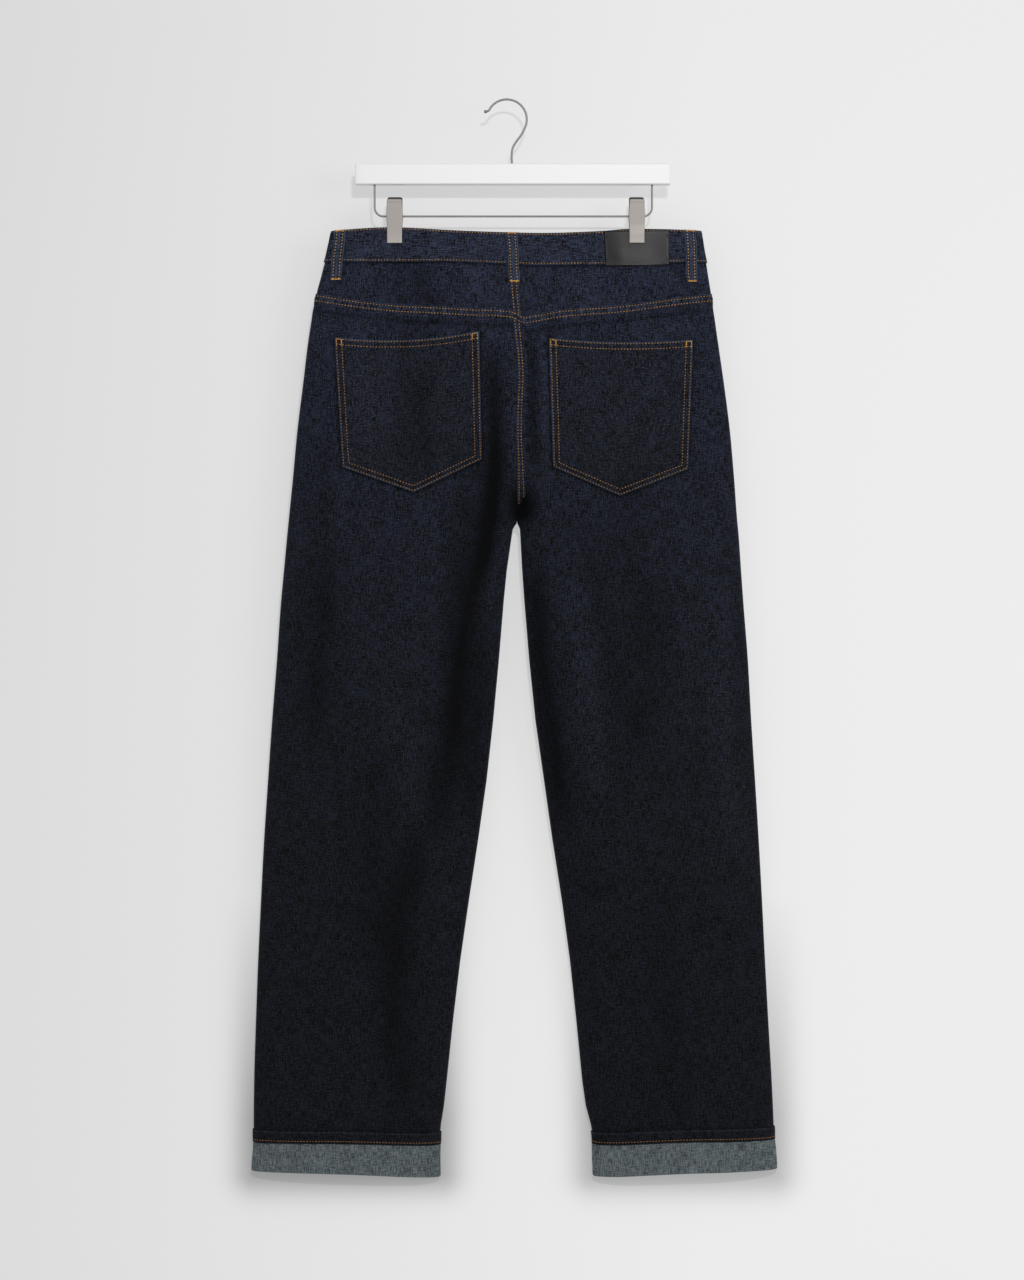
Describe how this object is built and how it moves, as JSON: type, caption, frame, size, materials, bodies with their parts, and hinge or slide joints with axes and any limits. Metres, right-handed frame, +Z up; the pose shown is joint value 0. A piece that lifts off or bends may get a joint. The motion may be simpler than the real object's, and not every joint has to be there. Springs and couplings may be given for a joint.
{
  "type": "straight leg jeans on a clip hanger",
  "caption": "Dark denim jeans with straight, turned-up legs, hung by the waistband from the two sliding clips of a bar hanger with a wire hook.",
  "frame": {"origin": "inside of the crest of the hanger's hook, where it rests on a rail", "axes": "+Z up; the garment's back faces -Y and its front +Y; +X to the wearer's right"},
  "size_m": [0.5936, 0.0605, 1.2148],
  "materials": {
    "denim": "dark indigo twill, matte",
    "denim_reverse": "pale reverse of the denim, matte",
    "leather": "black, soft sheen",
    "button_metal": "aged",
    "white_paint": "white satin",
    "hanger_wire": "bright",
    "clip_steel": "brushed"
  },
  "bodies": {
    "root": {"back_left": "denim", "back_right": "denim", "yoke_left": "denim", "yoke_right": "denim", "front_left": "denim", "front_right": "denim", "pocket_facing_left": "denim", "pocket_facing_right": "denim", "back_pocket_left": "denim", "back_pocket_right": "denim", "waistband_back": "denim", "waistband_front_left": "denim", "waistband_front_right": "denim", "loop_back_centre": "denim", "loop_side_left": "denim", "loop_side_right": "denim", "loop_front_left": "denim", "loop_front_right": "denim", "turnup_left_back": "denim_reverse", "turnup_left_front": "denim_reverse", "turnup_right_back": "denim_reverse", "turnup_right_front": "denim_reverse", "hem_band_left_back": "denim", "hem_band_left_front": "denim", "hem_band_right_back": "denim", "hem_band_right_front": "denim", "leather_patch": "leather", "waist_button": "button_metal", "hanger_bar": "white_paint", "hanger_hook": "hanger_wire", "hook_tip": "hanger_wire", "hanger_rail": "hanger_wire", "clip_left_back": "clip_steel", "clip_left_front": "clip_steel", "clip_left_spring": "clip_steel", "clip_right_back": "clip_steel", "clip_right_front": "clip_steel", "clip_right_spring": "clip_steel"}
  },
  "joints": []
}
